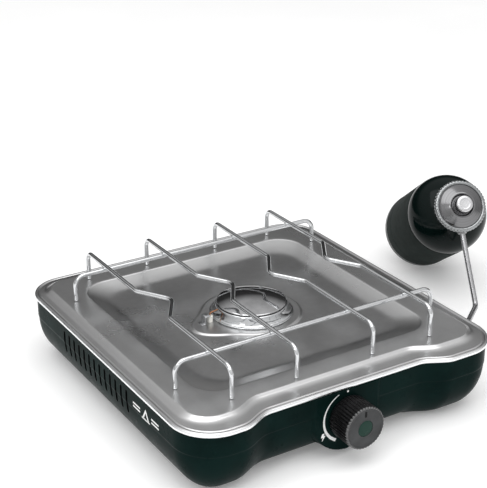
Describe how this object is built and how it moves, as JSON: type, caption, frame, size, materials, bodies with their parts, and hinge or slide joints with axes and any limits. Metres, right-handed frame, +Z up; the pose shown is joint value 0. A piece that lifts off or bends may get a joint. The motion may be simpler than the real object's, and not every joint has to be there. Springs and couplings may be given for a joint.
{
  "type": "camping stove",
  "caption": "Table-top camping stove with a wire grate over a burner in a sunk pan, a ribbed control knob with igniter, and a tilted gas cylinder on a regulator and pipe.",
  "frame": {"origin": "on the table, straight under the middle of the burner", "axes": "+Z up, -Y out of the front with the knob, +X towards the gas inlet and the cylinder"},
  "size_m": [0.5909, 0.4061, 0.1638],
  "materials": {
    "tub_enamel": "semi-gloss enamel",
    "black_rubber": "moulded rubber",
    "pan_steel": "satin drawn sheet, bright rolled rim",
    "burner_chrome": "polished",
    "cap_enamel": "gloss black enamel",
    "burner_aluminium": "cast",
    "plated_steel": "zinc plated",
    "igniter_ceramic": "glazed",
    "electrode_wire": "heat coloured",
    "igniter_plastic": "moulded",
    "valve_brass": "turned",
    "knob_plastic": "moulded, ribbed",
    "insert_plastic": "moulded",
    "grate_chrome": "plated wire",
    "pipe_steel": "drawn tube",
    "regulator_steel": "turned and crimped",
    "cap_bright": "polished",
    "dome_paint": "gloss paint",
    "sleeve_print": "satin printed sleeve",
    "foot_plastic": "moulded cup"
  },
  "bodies": {
    "stove": {"base_tub": "tub_enamel", "rubber_feet": "black_rubber", "top_pan": "pan_steel", "burner_bowl": "burner_aluminium", "mixing_tube": "plated_steel", "air_shutter": "plated_steel", "burner_skirt": "burner_chrome", "port_ring": "burner_aluminium", "burner_cap": "cap_enamel", "cap_stud": "plated_steel", "cap_nut": "plated_steel", "burner_bracket": "plated_steel", "bracket_screws": "plated_steel", "electrode_guard": "plated_steel", "electrode_ceramic": "igniter_ceramic", "electrode_tip": "electrode_wire", "ignition_lead": "black_rubber", "piezo_module": "igniter_plastic", "valve_body": "valve_brass", "valve_jet": "valve_brass", "valve_nut": "plated_steel", "valve_bracket": "plated_steel", "bracket_rivets": "plated_steel", "inlet_fitting": "valve_brass", "inlet_nut": "valve_brass", "gas_tube": "valve_brass", "gas_tube_nuts": "valve_brass"},
    "knob": {"knob_body": "knob_plastic", "knob_insert": "insert_plastic", "knob_clip": "plated_steel", "valve_stem": "valve_brass", "ignition_cam": "igniter_plastic"},
    "piezo": {"piezo_plunger": "igniter_plastic"},
    "grate": {"grate_bar_left": "grate_chrome", "grate_bar_mid_left": "grate_chrome", "grate_bar_mid_right": "grate_chrome", "grate_bar_right": "grate_chrome", "grate_cross_front": "grate_chrome", "grate_cross_back": "grate_chrome"},
    "regulator": {"outlet_pipe": "pipe_steel", "outlet_plug": "valve_brass", "outlet_seal": "black_rubber", "regulator_base": "regulator_steel", "crimp_ring": "regulator_steel", "regulator_cover": "regulator_steel", "regulator_cap": "cap_bright", "diaphragm": "black_rubber", "regulator_spring": "plated_steel", "valve_pin": "valve_brass"},
    "cylinder": {"cylinder_dome": "dome_paint", "cylinder_body": "dome_paint", "cylinder_sleeve": "sleeve_print", "cylinder_foot": "foot_plastic", "cylinder_valve": "valve_brass"}
  },
  "joints": [
    {"name": "knob_turn", "type": "hinge", "parent": "stove", "child": "knob", "pos_m": [-0.006, -0.19, 0.0455], "axis": [0, -1, 0], "range_deg": [0, 150]},
    {"name": "piezo_push", "type": "slide", "parent": "stove", "child": "piezo", "axis": [1, 0, 0], "range_m": [0, 0.004]},
    {"name": "grate_lift", "type": "slide", "parent": "stove", "child": "grate", "axis": [0, 0, 1], "range_m": [0, 0.06]},
    {"name": "regulator_swivel", "type": "hinge", "parent": "stove", "child": "regulator", "pos_m": [0.187, -0.112, 0.044], "axis": [1, 0, 0], "range_deg": [0, 35]},
    {"name": "cylinder_screw", "type": "hinge", "parent": "regulator", "child": "cylinder", "pos_m": [0.3155, 0.0494, 0.1066], "axis": [-0.3427, -0.7807, 0.5225], "continuous": true}
  ],
  "couplings": [
    {"joint": "piezo_push", "follows": "knob_turn", "m_per_rad": 0.0015279}
  ]
}
